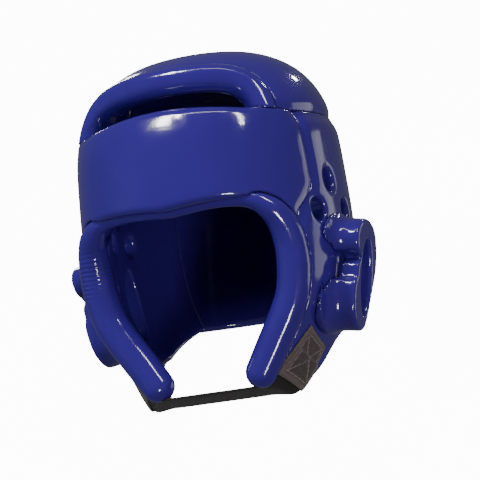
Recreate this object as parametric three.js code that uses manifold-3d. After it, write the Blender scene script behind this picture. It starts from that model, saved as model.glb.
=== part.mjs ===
// Foam martial-arts head guard: padded pieces on one head form, a rim round the face, ear guards and a chin strap.
// Millimetres, +Z up, the face looks along -Y. The origin is where the top of the head meets the crown's inside.
import * as THREE from "three";
import { mergeVertices } from "three/addons/utils/BufferGeometryUtils.js";
import Module from "manifold-3d";

const wasm = await Module();
wasm.setup();

// Overall form
const halfWidth = 102;
const frontReach = 122;
const backReach = 117;
const formDepth = 262; // from the origin down to the lowest section
const crownWall = 24;
const sideWall = 21;
const frontWall = 24;
const backWall = 20;
const gap = 0.4; // between neighbouring pieces

// Crown line, where the crown meets the band below it: its height at the front, the temples and the back
const crownLineFront = -31;
const crownLineTemple = -41;
const crownLineBack = -40;
const templeTurn = THREE.MathUtils.degToRad(62);

// Crown roll, the padded arch over the forehead slot
const rollHalfHeight = 10.5;
const rollHalfDepth = 12.5;
const rollSquareness = 0.8; // power that squares the roll's section; 1 leaves it an ellipse
const rollRise = 24; // its centre above the crown line at the front
const rollEndTurn = THREE.MathUtils.degToRad(46.5);
const domeSink = 2; // how far the dome lies inside the band's form

// Face opening and the rim round it
const browHeight = -107;
const chinHeight = -232; // centre of the rim's lower ends
const openingHalfWidth = 79;
const rimHalfWidth = 12.5;
const rimHalfDepth = 13.5;
const cheekShare = 0.89; // how wide the opening is behind the rim, as a share of the rim's own path

// Seams between the forehead pad and the side pads, and between those and the back pad
const templeSeam = -47;
const templeSeamLean = 32; // how far the seam has run forward at its foot
const templeSeamFoot = -130;
const backSeam = 62;

// Lower edge of the side and back pads
const jawHeight = -246;
const jawY = -40; // where the jaw edge starts to rise towards the back
const jawRun = 62; // how far it takes to rise to the height under the ear guards
const underEarHeight = -212;
const napeHeight = -192;

// Vent holes in each side pad
const ventRadius = 8.5;
const ventTop = -94;
const ventDrop = 23;
const ventSpread = 26;
const ventMiddle = -23;

// Ear guards
const guardHeight = 90;
const guardDepth = 54;
const guardCentreY = -8;
const guardCentreZ = -172;
const guardStand = 12; // how far its outer face stands off the form
const guardReach = halfWidth + guardStand;
const guardTilt = THREE.MathUtils.degToRad(11);
const guardEdge = 2.2;
const guardStraight = 8; // depth of the straight part of its wall
const guardFlareDepth = 13;
const guardFlare = 15; // how far the foot spreads forward
const guardFlareElsewhere = 4; // and upward, downward and back
const earHoleHeight = 58;
const earHoleDepth = 25;
const earSlotHeight = 19;
const earSlotWidth = 6;
const earSlotInset = 17; // below the outer face
const earSlotUp = 9; // above the guard's middle

// Chin strap and the patches that hold it
const strapWidth = 28;
const strapThickness = 2;
const strapHeight = -246;
const strapCentreY = -64;
const strapTilt = 0.27; // how steeply the run under the chin leans, front edge up
const patchLength = 36;
const patchWidth = 33;
const patchThickness = 1.6;
const patchY = -45;
const patchZ = -226;
const patchLean = THREE.MathUtils.degToRad(31); // from the vertical, forward on the way down

// Facets
const formColumns = 48;
const formRows = 18;
const hollowColumns = 32;
const hollowRows = 11;
const tubeSides = 12;
const beyond = 400; // cutters reach this far past the part

// Sections of the head form from the top down. drop is a share of the form's height; half, front and back are
// shares of its reaches; bow is the superellipse power of the front half.
const formSections = [
  { drop: 0.0, half: 0.0, front: 0.0, back: 0.0, bow: 2.1 },
  { drop: 0.012, half: 0.36, front: 0.3, back: 0.42, bow: 2.1 },
  { drop: 0.038, half: 0.6, front: 0.51, back: 0.66, bow: 2.1 },
  { drop: 0.088, half: 0.79, front: 0.71, back: 0.85, bow: 2.1 },
  { drop: 0.165, half: 0.92, front: 0.87, back: 0.955, bow: 2.15 },
  { drop: 0.263, half: 0.97, front: 0.97, back: 0.99, bow: 2.25 },
  { drop: 0.386, half: 0.99, front: 1.0, back: 1.0, bow: 2.3 },
  { drop: 0.509, half: 1.0, front: 1.0, back: 0.98, bow: 2.35 },
  { drop: 0.614, half: 0.985, front: 0.98, back: 0.93, bow: 2.5 },
  { drop: 0.719, half: 0.92, front: 0.95, back: 0.86, bow: 2.4 },
  { drop: 0.825, half: 0.795, front: 0.87, back: 0.77, bow: 2.05 },
  { drop: 0.93, half: 0.7, front: 0.71, back: 0.69, bow: 2.0 },
  { drop: 1.0, half: 0.6, front: 0.61, back: 0.62, bow: 2.0 },
];
const backBow = 2.05;

// Path of the face rim on the wearer's left. side is a share of openingHalfWidth, fall a share of the way from the
// brow to the chin ends, forward a share of frontReach, size a share of the rim's full section.
const rimSections = [
  { side: 0.0, fall: 0.0, forward: 0.865, size: 0.36 },
  { side: 0.42, fall: -0.02, forward: 0.84, size: 0.38 },
  { side: 0.74, fall: -0.01, forward: 0.785, size: 0.52 },
  { side: 0.9, fall: 0.055, forward: 0.72, size: 0.72 },
  { side: 0.97, fall: 0.14, forward: 0.655, size: 0.86 },
  { side: 1.0, fall: 0.26, forward: 0.605, size: 0.95 },
  { side: 0.995, fall: 0.4, forward: 0.585, size: 1.0 },
  { side: 0.945, fall: 0.555, forward: 0.575, size: 1.0 },
  { side: 0.85, fall: 0.68, forward: 0.575, size: 1.0 },
  { side: 0.69, fall: 0.84, forward: 0.575, size: 1.0 },
  { side: 0.53, fall: 1.0, forward: 0.58, size: 0.97 },
];

// Path of the crown roll on one side. turn is a share of rollEndTurn, fall a share of the way down to the temple,
// and size a share of the section at the front.
const rollSections = [
  { turn: 0.0, fall: 0.0, size: 1.0 },
  { turn: 0.35, fall: 0.03, size: 1.0 },
  { turn: 0.65, fall: 0.1, size: 1.0 },
  { turn: 0.86, fall: 0.28, size: 0.97 },
  { turn: 0.97, fall: 0.62, size: 0.91 },
  { turn: 1.0, fall: 1.1, size: 0.88 },
];

// Temple seam on its way down: share is of the way from the crown line to the foot, lean a share of templeSeamLean
const seamSections = [
  { share: 0.0, lean: 0.0 },
  { share: 0.5, lean: 0.0 },
  { share: 0.66, lean: 0.06 },
  { share: 0.77, lean: 0.35 },
  { share: 0.85, lean: 0.62 },
  { share: 0.94, lean: 0.8 },
  { share: 1.0, lean: 1.0 },
];

// Jaw edge on its way back: run is a share of jawRun, rise a share of the way up to underEarHeight
const jawSections = [
  { run: 0.0, rise: 0.0 },
  { run: 0.22, rise: 0.15 },
  { run: 0.4, rise: 0.38 },
  { run: 0.6, rise: 0.68 },
  { run: 0.8, rise: 0.9 },
  { run: 1.0, rise: 1.0 },
];

// Outline of an ear guard, as shares of half its depth and half its height. back runs towards the nape.
const guardOutline = [
  { back: -0.05, up: 1.0 },
  { back: -0.7, up: 0.92 },
  { back: -0.98, up: 0.72 },
  { back: -0.9, up: 0.48 },
  { back: -0.56, up: 0.34 },
  { back: -0.78, up: 0.22 },
  { back: -0.84, up: 0.05 },
  { back: -1.02, up: -0.1 },
  { back: -1.08, up: -0.36 },
  { back: -0.96, up: -0.66 },
  { back: -0.5, up: -0.88 },
  { back: 0.08, up: -0.86 },
  { back: 0.6, up: -0.36 },
  { back: 1.0, up: 0.26 },
  { back: 0.72, up: 0.8 },
];

// Catmull-Rom value of one column of a table, at a place counted in rows
function smoothValue(rows, column, place) {
  const last = rows.length - 1;
  const row = Math.min(Math.floor(place), last - 1);
  const t = place - row;
  const at = (i) => rows[THREE.MathUtils.clamp(i, 0, last)][column];
  const [a, b, c, d] = [at(row - 1), at(row), at(row + 1), at(row + 2)];
  return b + 0.5 * t * (c - a + t * (2 * a - 5 * b + 4 * c - d + t * (3 * (b - c) + d - a)));
}

// The head form, grown by a margin on every side, and the hollow that the head fills
const outerForm = (margin) => ({
  half: halfWidth + margin,
  front: frontReach + margin,
  back: backReach + margin,
  top: crownWall + margin,
  bottom: -formDepth - margin,
});
const innerForm = {
  half: halfWidth - sideWall,
  front: frontReach - frontWall,
  back: backReach - backWall,
  top: 0,
  bottom: -formDepth,
};

// Place in the table of sections, in rows, at one height of a form
function placeAtHeight(form, z) {
  const drop = (form.top - z) / (form.top - form.bottom);
  let low = 0;
  let high = formSections.length - 1;
  for (let step = 0; step < 40; step += 1) {
    const middle = (low + high) / 2;
    if (smoothValue(formSections, "drop", middle) < drop) low = middle;
    else high = middle;
  }
  return low;
}

function formPoint(form, place, turn) {
  const value = (column) => smoothValue(formSections, column, place);
  const facingFront = Math.cos(turn) > 0;
  const power = facingFront ? value("bow") : backBow;
  const reach = facingFront ? form.front * value("front") : form.back * value("back");
  const half = form.half * value("half");
  const across = Math.abs(Math.sin(turn)) / Math.max(half, 1e-6);
  const along = Math.abs(Math.cos(turn)) / Math.max(reach, 1e-6);
  const radius = (across ** power + along ** power) ** (-1 / power);
  const z = form.top - value("drop") * (form.top - form.bottom);
  return new THREE.Vector3(radius * Math.sin(turn), -radius * Math.cos(turn), z);
}

// Half width of the form at one depth and height
function formHalfWidthAt(form, y, z) {
  const place = placeAtHeight(form, z);
  const value = (column) => smoothValue(formSections, column, place);
  const power = y < 0 ? value("bow") : backBow;
  const reach = y < 0 ? form.front * value("front") : form.back * value("back");
  const left = Math.max(0, 1 - Math.abs(y / reach) ** power);
  return form.half * value("half") * left ** (1 / power);
}

function solidOf(geometry) {
  const bare = new THREE.BufferGeometry();
  bare.setAttribute("position", geometry.getAttribute("position"));
  bare.setIndex(geometry.getIndex());
  const merged = mergeVertices(bare, 1e-4);
  const corners = new Uint32Array(merged.index.array);
  const build = () =>
    new wasm.Manifold(
      new wasm.Mesh({ numProp: 3, vertProperties: merged.attributes.position.array, triVerts: corners }),
    );
  const solid = build();
  if (solid.volume() > 0) return solid;
  for (let i = 0; i < corners.length; i += 3) {
    [corners[i + 1], corners[i + 2]] = [corners[i + 2], corners[i + 1]];
  }
  return build();
}

// A closed solid through rings of equally many points, with a fan over each end
function loft(rings) {
  const count = rings[0].length;
  const points = rings.flat();
  const triangles = [];
  for (let i = 0; i + 1 < rings.length; i += 1) {
    for (let j = 0; j < count; j += 1) {
      const [a, b] = [i * count + j, i * count + ((j + 1) % count)];
      triangles.push(a, b, b + count, a, b + count, a + count);
    }
  }
  for (const [ring, flip] of [[0, true], [rings.length - 1, false]]) {
    const middle = new THREE.Vector3();
    for (const point of rings[ring]) middle.addScaledVector(point, 1 / count);
    points.push(middle);
    for (let j = 0; j < count; j += 1) {
      const [a, b] = [ring * count + j, ring * count + ((j + 1) % count)];
      triangles.push(points.length - 1, flip ? b : a, flip ? a : b);
    }
  }
  const geometry = new THREE.BufferGeometry().setFromPoints(points);
  geometry.setIndex(triangles);
  return solidOf(geometry);
}

function formSolid(form, columns, rows) {
  const rings = [];
  for (let row = 0; row <= rows; row += 1) {
    const place = 0.3 + (row / rows) * (formSections.length - 1.3);
    const ring = [];
    for (let column = 0; column < columns; column += 1) {
      ring.push(formPoint(form, place, (column / columns) * 2 * Math.PI));
    }
    rings.push(ring);
  }
  return loft(rings);
}
const outerSolid = (margin) => formSolid(outerForm(margin), formColumns, formRows);

// A flat outline of [across, up] points extruded along Y, and one of [y, z] points extruded along X
function prismAlongY(outline, from, to) {
  const shape = new THREE.Shape(outline.map(([x, z]) => new THREE.Vector2(x, z)));
  const geometry = new THREE.ExtrudeGeometry(shape, { depth: to - from, bevelEnabled: false });
  geometry.rotateX(Math.PI / 2).translate(0, to, 0);
  return solidOf(geometry);
}
function prismAlongX(outline, from, to) {
  const shape = new THREE.Shape(outline.map(([y, z]) => new THREE.Vector2(y, z)));
  const geometry = new THREE.ExtrudeGeometry(shape, { depth: to - from, bevelEnabled: false });
  geometry.applyMatrix4(new THREE.Matrix4().set(0, 0, 1, from, 1, 0, 0, 0, 0, 1, 0, 0, 0, 0, 0, 1));
  return solidOf(geometry);
}

function box(low, high) {
  const geometry = new THREE.BoxGeometry(high[0] - low[0], high[1] - low[1], high[2] - low[2]);
  geometry.translate((low[0] + high[0]) / 2, (low[1] + high[1]) / 2, (low[2] + high[2]) / 2);
  return solidOf(geometry);
}

// Height of the crown line at one turn from the front
function crownLineAt(turn) {
  const away = Math.abs(Math.atan2(Math.sin(turn), Math.cos(turn)));
  if (away < templeTurn) {
    const share = THREE.MathUtils.smoothstep(away, 0, templeTurn);
    return THREE.MathUtils.lerp(crownLineFront, crownLineTemple, share);
  }
  return THREE.MathUtils.lerp(crownLineTemple, crownLineBack, (away - templeTurn) / (Math.PI - templeTurn));
}

// Everything above the crown line, moved up by a shift
function aboveCrownLine(shift) {
  const ring = (radius, height) => {
    const points = [];
    for (let column = 0; column < formColumns; column += 1) {
      const turn = (column / formColumns) * 2 * Math.PI;
      points.push(new THREE.Vector3(radius * Math.sin(turn), -radius * Math.cos(turn), height(turn)));
    }
    return points;
  };
  const line = (turn) => crownLineAt(turn) + shift;
  return loft([ring(1, () => beyond), ring(beyond, () => beyond), ring(beyond, line), ring(halfWidth / 2, line)]);
}

// Places in a table that is read from its last row back to the first and out again on the other side
function mirroredPlaces(rows, step) {
  const last = rows.length - 1;
  const places = [];
  for (let at = -last; at <= last + 1e-9; at += step) places.push(at);
  return places;
}

// Section axes at each point of a path: across lies in the form's surface, depth points out of it
function framed(path, halfAcross, halfDepth) {
  return path.map(({ point, size, out }, i) => {
    const before = path[Math.max(0, i - 1)].point;
    const after = path[Math.min(path.length - 1, i + 1)].point;
    const along = after.clone().sub(before).normalize();
    const across = new THREE.Vector3().crossVectors(along, out).normalize();
    const depth = new THREE.Vector3().crossVectors(across, along).normalize();
    across.multiplyScalar(halfAcross(size));
    depth.multiplyScalar(halfDepth(size));
    return { point, across, depth };
  });
}

// A roll through framed points, closed by round ends of one reach. Squareness is a power; 1 makes ellipses.
function rollThrough(centres, endReach, squareness) {
  const squared = (value) => Math.sign(value) * Math.abs(value) ** squareness;
  const ringAt = ({ point, across, depth }, along, share) => {
    const centre = point.clone().addScaledVector(along, endReach * Math.sqrt(1 - share * share));
    const ring = [];
    for (let side = 0; side < tubeSides; side += 1) {
      const turn = (side / tubeSides) * 2 * Math.PI;
      const spoke = across.clone().multiplyScalar(squared(Math.cos(turn)) * share);
      ring.push(centre.clone().add(spoke.addScaledVector(depth, squared(Math.sin(turn)) * share)));
    }
    return ring;
  };
  const capShares = [0.3, 0.65, 0.9];
  const ahead = (a, b) => b.point.clone().sub(a.point).normalize();
  const first = ahead(centres[1], centres[0]);
  const last = ahead(centres.at(-2), centres.at(-1));
  return loft([
    ...capShares.map((share) => ringAt(centres[0], first, share)),
    ...centres.map((centre) => ringAt(centre, first, 1)),
    ...capShares.toReversed().map((share) => ringAt(centres.at(-1), last, share)),
  ]);
}

function rimPath() {
  return mirroredPlaces(rimSections, 0.5).map((at) => {
    const value = (column) => smoothValue(rimSections, column, Math.abs(at));
    const x = Math.sign(at) * value("side") * openingHalfWidth;
    const z = THREE.MathUtils.lerp(browHeight, chinHeight, value("fall"));
    const point = new THREE.Vector3(x, -value("forward") * frontReach, z);
    return { point, size: value("size"), out: new THREE.Vector3(point.x, point.y, 0).normalize() };
  });
}

// The rim, grown by a margin
function rimSolid(margin) {
  const halfAcross = (size) => rimHalfWidth * size + margin;
  const halfDepth = (size) => rimHalfDepth * size + margin;
  return rollThrough(framed(rimPath(), halfAcross, halfDepth), halfAcross(rimSections.at(-1).size), 1);
}

// The crown roll's path: its outer side touches the form
function rollPath() {
  const form = outerForm(0);
  return mirroredPlaces(rollSections, 1 / 3).map((at) => {
    const value = (column) => smoothValue(rollSections, column, Math.abs(at));
    const turn = Math.sign(at) * value("turn") * rollEndTurn;
    const z = THREE.MathUtils.lerp(crownLineFront + rollRise, crownLineTemple, value("fall"));
    const surface = formPoint(form, placeAtHeight(form, z), turn);
    const out = new THREE.Vector3(surface.x, surface.y, 0).normalize();
    return { point: surface.addScaledVector(out, -rollHalfDepth), size: value("size"), out };
  });
}

function rollSolid(margin) {
  const halfAcross = (size) => rollHalfHeight * size + margin;
  const halfDepth = () => rollHalfDepth + margin;
  return rollThrough(framed(rollPath(), halfAcross, halfDepth), rollHalfHeight, rollSquareness);
}

// What lies inside a mirrored path and below it, seen from the front, with the path's width scaled by a share
function insidePath(path, share) {
  const outline = path.map(({ point }) => [point.x * share, point.z]);
  const end = outline.at(-1);
  outline.push([end[0], end[1] - beyond], [-end[0], end[1] - beyond]);
  return prismAlongY(outline, -beyond, 0);
}

// Seen from the side: what lies in front of the temple seam, which leans forward on its way down
function frontOfTempleSeam(margin) {
  const seam = seamSections.map(({ share, lean }) => [
    templeSeam - templeSeamLean * lean + margin,
    THREE.MathUtils.lerp(crownLineTemple, templeSeamFoot, share),
  ]);
  const outline = [[templeSeam + margin, beyond], ...seam, [-beyond, templeSeamFoot], [-beyond, beyond]];
  return prismAlongX(outline, -beyond, beyond);
}

// Seen from the side: what lies below the jaw, the ear guards and the nape
function belowJaw() {
  const edge = jawSections.map(({ run, rise }) => [
    jawY + jawRun * run,
    THREE.MathUtils.lerp(jawHeight, underEarHeight, rise),
  ]);
  const nape = [[backSeam, napeHeight], [beyond, napeHeight]];
  return prismAlongX([[-beyond, jawHeight], ...edge, ...nape, [beyond, -beyond], [-beyond, -beyond]], -beyond, beyond);
}

function ventCutters(side) {
  const places = [
    [ventMiddle, ventTop],
    [ventMiddle - ventSpread, ventTop - ventDrop],
    [ventMiddle + ventSpread, ventTop - ventDrop],
  ];
  return places.map(([y, z]) => {
    const geometry = new THREE.CylinderGeometry(ventRadius, ventRadius, halfWidth, 16);
    geometry.rotateZ(Math.PI / 2).rotateZ(side * Math.atan2(y, halfWidth));
    geometry.translate(side * halfWidth, y, z);
    return solidOf(geometry);
  });
}

// A ring of the guard's outline in its own frame (X back, Y up, Z out), grown at the front and elsewhere, and moved
// in by a depth
function guardRing(growFront, grow, deep) {
  const points = guardOutline.map(({ back, up }) => {
    const reach = guardDepth / 2 + (back < 0 ? growFront : grow);
    return new THREE.Vector3(back * reach, up * (guardHeight / 2 + grow), -deep);
  });
  return new THREE.CatmullRomCurve3(points, true, "centripetal").getPoints(40).slice(0, -1);
}

// Puts a solid made in the guard's frame on one side of the head
function placeGuard(solid, side) {
  const back = new THREE.Vector3(0, 1, 0);
  const out = new THREE.Vector3(Math.cos(guardTilt), 0, -Math.sin(guardTilt));
  const up = new THREE.Vector3().crossVectors(out, back);
  const matrix = new THREE.Matrix4().makeBasis(back, up, out);
  matrix.setPosition(guardReach, guardCentreY, guardCentreZ);
  const placed = solid.transform(matrix.toArray());
  return side > 0 ? placed : placed.mirror([1, 0, 0]);
}

function earHole() {
  const geometry = new THREE.CylinderGeometry(1, 1, guardReach, 24);
  geometry.rotateX(Math.PI / 2).scale(earHoleDepth / 2, earHoleHeight / 2, 1);
  return solidOf(geometry);
}

function earGuard(side) {
  const rings = [
    guardRing(-guardEdge, -guardEdge, 0),
    guardRing(-0.3 * guardEdge, -0.3 * guardEdge, 0.3 * guardEdge),
    guardRing(0, 0, guardEdge),
    guardRing(0, 0, guardStraight),
  ];
  for (const share of [0.4, 0.75, 1]) {
    const turn = (share * Math.PI) / 2;
    const deep = guardStraight + guardFlareDepth * Math.sin(turn);
    const spread = 1 - Math.cos(turn);
    rings.push(guardRing(guardFlare * spread, guardFlareElsewhere * spread, deep));
  }
  rings.push(guardRing(guardFlare, guardFlareElsewhere, guardReach / 3));
  const slot = box(
    [-guardDepth - guardFlare, earSlotUp - earSlotHeight / 2, -earSlotInset - earSlotWidth / 2],
    [0, earSlotUp + earSlotHeight / 2, -earSlotInset + earSlotWidth / 2],
  );
  const whole = loft(rings).subtract(earHole()).subtract(slot);
  return placeGuard(whole, side).subtract(outerSolid(gap)).subtract(rimRoom);
}

// Middle line of the strap, from one patch under the chin to the other
function strapLine() {
  const lift = outerForm(gap + strapThickness / 2);
  const onJaw = (reach) => {
    const y = patchY - Math.sin(patchLean) * reach;
    const z = patchZ - Math.cos(patchLean) * reach;
    return new THREE.Vector3(formHalfWidthAt(lift, y, z), y, z);
  };
  const jaw = onJaw(patchLength * 0.62);
  const chin = (side, fall, back) =>
    new THREE.Vector3(jaw.x * side, strapCentreY + back, THREE.MathUtils.lerp(jaw.z, strapHeight, fall));
  const half = [onJaw(0), onJaw(patchLength * 0.32), jaw, chin(0.72, 0.85, 2), chin(0.4, 1, 0)];
  const mirrored = half.toReversed().map(({ x, y, z }) => new THREE.Vector3(-x, y, z));
  return new THREE.CatmullRomCurve3([...half, chin(0, 1, 0), ...mirrored]);
}

// The strap, grown by a margin. It clings to the form at the patches and leans under the chin.
function strapSolid(margin) {
  const line = strapLine();
  const lift = outerForm(gap + strapThickness / 2);
  const steps = 30;
  const rings = [];
  for (let step = 0; step <= steps; step += 1) {
    const share = step / steps;
    const along = line.getTangent(share);
    const endReach = step % steps === 0 ? margin * Math.sign(share - 0.5) : 0;
    const point = line.getPoint(share).addScaledVector(along, endReach);
    const cling = 1 - THREE.MathUtils.smoothstep(0.5 - Math.abs(share - 0.5), 0.12, 0.3);
    const onPatch = new THREE.Vector3(0, Math.cos(patchLean), -Math.sin(patchLean));
    const underChin = new THREE.Vector3(0, 1, -strapTilt).normalize();
    const across = underChin.lerp(onPatch, cling).normalize();
    const out = new THREE.Vector3().crossVectors(across, along).normalize();
    const middles = [-1, 0, 1].map((u) => {
      const place = point.clone().addScaledVector(across, u * (strapWidth / 2 + margin));
      const onForm = Math.sign(point.x) * formHalfWidthAt(lift, place.y, place.z);
      place.x = THREE.MathUtils.lerp(place.x, onForm, cling);
      return place;
    });
    const half = strapThickness / 2 + margin;
    const upper = middles.map((place) => place.clone().addScaledVector(out, half));
    const lower = middles.map((place) => place.clone().addScaledVector(out, -half));
    rings.push([...upper, ...lower.reverse()]);
  }
  return loft(rings);
}

// A patch: a leaning rectangle seen from the side, lying over the strap's end on the form
function patchSolid(side) {
  const corners = [[-1, -1], [1, -1], [1, 1], [-1, 1]].map(([a, b]) => {
    const [down, back] = [(a * patchLength) / 2, (b * patchWidth) / 2];
    return [
      patchY - Math.sin(patchLean) * down + Math.cos(patchLean) * back,
      patchZ - Math.cos(patchLean) * down - Math.sin(patchLean) * back,
    ];
  });
  const inner = halfWidth / 4;
  const prism = side > 0 ? prismAlongX(corners, inner, beyond) : prismAlongX(corners, -beyond, -inner);
  return prism
    .intersect(outerSolid(2 * gap + strapThickness + patchThickness))
    .subtract(outerSolid(gap))
    .subtract(strapRoom)
    .subtract(rimRoom);
}

// Foam pieces
const rimRoom = rimSolid(gap);
const rollRoom = rollSolid(gap);
const strapRoom = strapSolid(2 * gap); // it twists, so one gap would leave too little beside it
const hollow = formSolid(innerForm, hollowColumns, hollowRows);
const band = outerSolid(0)
  .subtract(hollow)
  .subtract(aboveCrownLine(-gap / 2))
  .subtract(belowJaw())
  .subtract(rimRoom);
const foreheadPad = band.intersect(frontOfTempleSeam(-gap / 2)).subtract(insidePath(rimPath(), 1));
const behindTemple = band.subtract(frontOfTempleSeam(gap / 2)).subtract(insidePath(rimPath(), cheekShare));
const backPad = behindTemple.intersect(box([-beyond, backSeam, -beyond], [beyond, beyond, beyond]));

function sidePad(side) {
  const [from, to] = side > 0 ? [0, beyond] : [-beyond, 0];
  const wall = behindTemple.intersect(box([from, -beyond, -beyond], [to, backSeam - gap, beyond]));
  const vented = ventCutters(side).reduce((solid, cutter) => solid.subtract(cutter), wall);
  return vented.subtract(placeGuard(earHole(), side)).subtract(strapRoom);
}

const crownPad = outerSolid(-domeSink)
  .subtract(hollow)
  .intersect(aboveCrownLine(gap / 2))
  .subtract(insidePath(rollPath(), 1))
  .subtract(rollRoom);
const crownRoll = rollSolid(0).intersect(aboveCrownLine(gap / 2)).subtract(hollow);

// Materials
const vinyl = { color: 0x1f2f96, roughness: 0.18, metalness: 0 };
const webbing = { color: 0x14130f, roughness: 0.85, metalness: 0 };
const patchCloth = { color: 0x57504c, roughness: 0.75, metalness: 0 };

// A named mesh of a solid's largest part; a cut can leave slivers beside it
function meshOf(name, solid, look) {
  const whole = solid.decompose().reduce((a, b) => (a.volume() > b.volume() ? a : b));
  const { numProp, numVert, vertProperties, triVerts } = whole.getMesh();
  const positions = new Float32Array(numVert * 3);
  for (let i = 0; i < numVert; i += 1) positions.set(vertProperties.subarray(i * numProp, i * numProp + 3), i * 3);
  const geometry = new THREE.BufferGeometry();
  geometry.setAttribute("position", new THREE.BufferAttribute(positions, 3));
  geometry.setIndex([...triVerts]);
  geometry.computeVertexNormals();
  const mesh = new THREE.Mesh(geometry, new THREE.MeshStandardMaterial(look));
  mesh.name = name;
  return mesh;
}

const headGuard = new THREE.Group();
headGuard.add(meshOf("forehead_pad", foreheadPad, vinyl));
headGuard.add(meshOf("crown_roll", crownRoll, vinyl));
headGuard.add(meshOf("crown_pad", crownPad, vinyl));
headGuard.add(meshOf("back_pad", backPad, vinyl));
headGuard.add(meshOf("face_rim", rimSolid(0), vinyl));
headGuard.add(meshOf("chin_strap", strapSolid(0).subtract(rimRoom), webbing));
for (const [side, label] of [[1, "left"], [-1, "right"]]) {
  headGuard.add(meshOf(`side_pad_${label}`, sidePad(side), vinyl));
  headGuard.add(meshOf(`ear_guard_${label}`, earGuard(side), vinyl));
  headGuard.add(meshOf(`strap_patch_${label}`, patchSolid(side), patchCloth));
}
export default headGuard;
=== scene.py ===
"""A head guard of dipped foam for martial arts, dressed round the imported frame, in a plain pale studio."""
import math

import bpy
import numpy as np
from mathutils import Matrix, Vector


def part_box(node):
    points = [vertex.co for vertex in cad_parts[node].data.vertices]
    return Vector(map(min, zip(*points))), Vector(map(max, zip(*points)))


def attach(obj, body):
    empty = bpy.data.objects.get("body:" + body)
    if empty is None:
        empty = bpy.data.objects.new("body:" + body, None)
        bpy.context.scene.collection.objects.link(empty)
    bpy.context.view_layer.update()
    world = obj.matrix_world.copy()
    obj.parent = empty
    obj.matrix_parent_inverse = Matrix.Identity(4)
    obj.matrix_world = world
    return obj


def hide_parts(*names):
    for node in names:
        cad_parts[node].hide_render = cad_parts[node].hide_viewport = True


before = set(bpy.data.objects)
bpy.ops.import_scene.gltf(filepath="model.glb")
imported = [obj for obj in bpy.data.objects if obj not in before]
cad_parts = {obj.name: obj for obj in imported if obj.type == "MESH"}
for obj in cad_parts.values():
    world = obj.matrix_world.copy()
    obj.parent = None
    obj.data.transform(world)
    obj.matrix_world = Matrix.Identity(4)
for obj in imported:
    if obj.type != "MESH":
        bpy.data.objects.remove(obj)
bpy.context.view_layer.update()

import openvdb
from mathutils import Matrix, Vector

MM = 0.001  # every size below is in millimetres

# Overall form
HALF_WIDTH = 102
FRONT_REACH = 122
BACK_REACH = 117
FORM_DEPTH = 262
CROWN_WALL = 24
SIDE_WALL = 21
FRONT_WALL = 24
BACK_WALL = 20
GAP = 0.4  # between a pad and the roll that lies in it
SEAM_GAP = 0.15  # at the bottom of a crease between two pads

# Crown line, where the crown meets the band below it
CROWN_LINE_FRONT = -31
CROWN_LINE_TEMPLE = -41
CROWN_LINE_BACK = -40
TEMPLE_TURN = math.radians(62)

# Crown roll over the forehead slot
ROLL_HALF_HEIGHT = 10.5
ROLL_HALF_DEPTH = 12.5
ROLL_SQUARENESS = 0.8  # power that squares its section; 1 leaves it an ellipse
ROLL_RISE = 24
ROLL_END_TURN = math.radians(46.5)
DOME_SINK = 2

# Face opening and its rim
BROW_HEIGHT = -107
CHIN_HEIGHT = -232
OPENING_HALF_WIDTH = 79
RIM_HALF_WIDTH = 12.5
RIM_HALF_DEPTH = 13.5
CHEEK_SHARE = 0.89  # how wide the opening is behind the rim, as a share of the rim's own path

# Seams and the lower edge
TEMPLE_SEAM = -47
TEMPLE_SEAM_LEAN = 32
TEMPLE_SEAM_FOOT = -130
BACK_SEAM = 62
JAW_HEIGHT = -246
JAW_Y = -40
JAW_RUN = 62
UNDER_EAR_HEIGHT = -212
NAPE_HEIGHT = -192

# Vent holes
VENT_RADIUS = 8.5
VENT_TOP = -94
VENT_DROP = 23
VENT_SPREAD = 26
VENT_MIDDLE = -23

# Ear guards
GUARD_HEIGHT = 90
GUARD_DEPTH = 54
GUARD_CENTRE_Y = -8
GUARD_CENTRE_Z = -172
GUARD_REACH = HALF_WIDTH + 12
GUARD_TILT = math.radians(11)
GUARD_STRAIGHT = 8
GUARD_FLARE_DEPTH = 13
GUARD_FLARE = 15
GUARD_FLARE_ELSEWHERE = 4
EAR_HOLE_HEIGHT = 58
EAR_HOLE_DEPTH = 25
EAR_SLOT_HEIGHT = 19
EAR_SLOT_WIDTH = 6
EAR_SLOT_INSET = 17
EAR_SLOT_UP = 9

# Chin strap and its patches
STRAP_WIDTH = 28
STRAP_THICKNESS = 2
STRAP_HEIGHT = -246
STRAP_CENTRE_Y = -64
STRAP_TILT = 0.27
PATCH_LENGTH = 36
PATCH_WIDTH = 33
PATCH_THICKNESS = 1.6
PATCH_Y = -45
PATCH_Z = -226
PATCH_LEAN = math.radians(31)
STITCH_INSET = 4.5
STITCH_PITCH = 2.4
STITCH_HALF_WIDTH = 0.35

# Fine folds at the wearer's right temple, in metres
WRINKLE_PLACE = (-0.087, -0.078, -0.139)
WRINKLE_PITCH = 0.0034
WRINKLE_REACH = (0.008, 0.028)  # the folds are full inside the first and gone past the second
WAVE_PERIOD = 0.314  # a wave texture's scale times its period

# How far each kind of edge is rounded, and the creases between pads as a depth and a width
CREASE_ROUND = 0.8
PAD_ROUND = 6
HIDDEN_ROUND = 2
VENT_ROUND = 5
GUARD_ROUND = 3
TEMPLE_CREASE = (2.4, 5)
CROWN_CREASE = (3.2, 7)
DOME_CREASE = (1.8, 5)
BACK_CREASE = (1.4, 4)

VOXEL = 1.3
BAND = 18  # how far from a surface its distance is known


def table(columns, rows):
    """The columns of a table by name."""
    return {name: np.array(values, float) for name, values in zip(columns, zip(*rows))}


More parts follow.
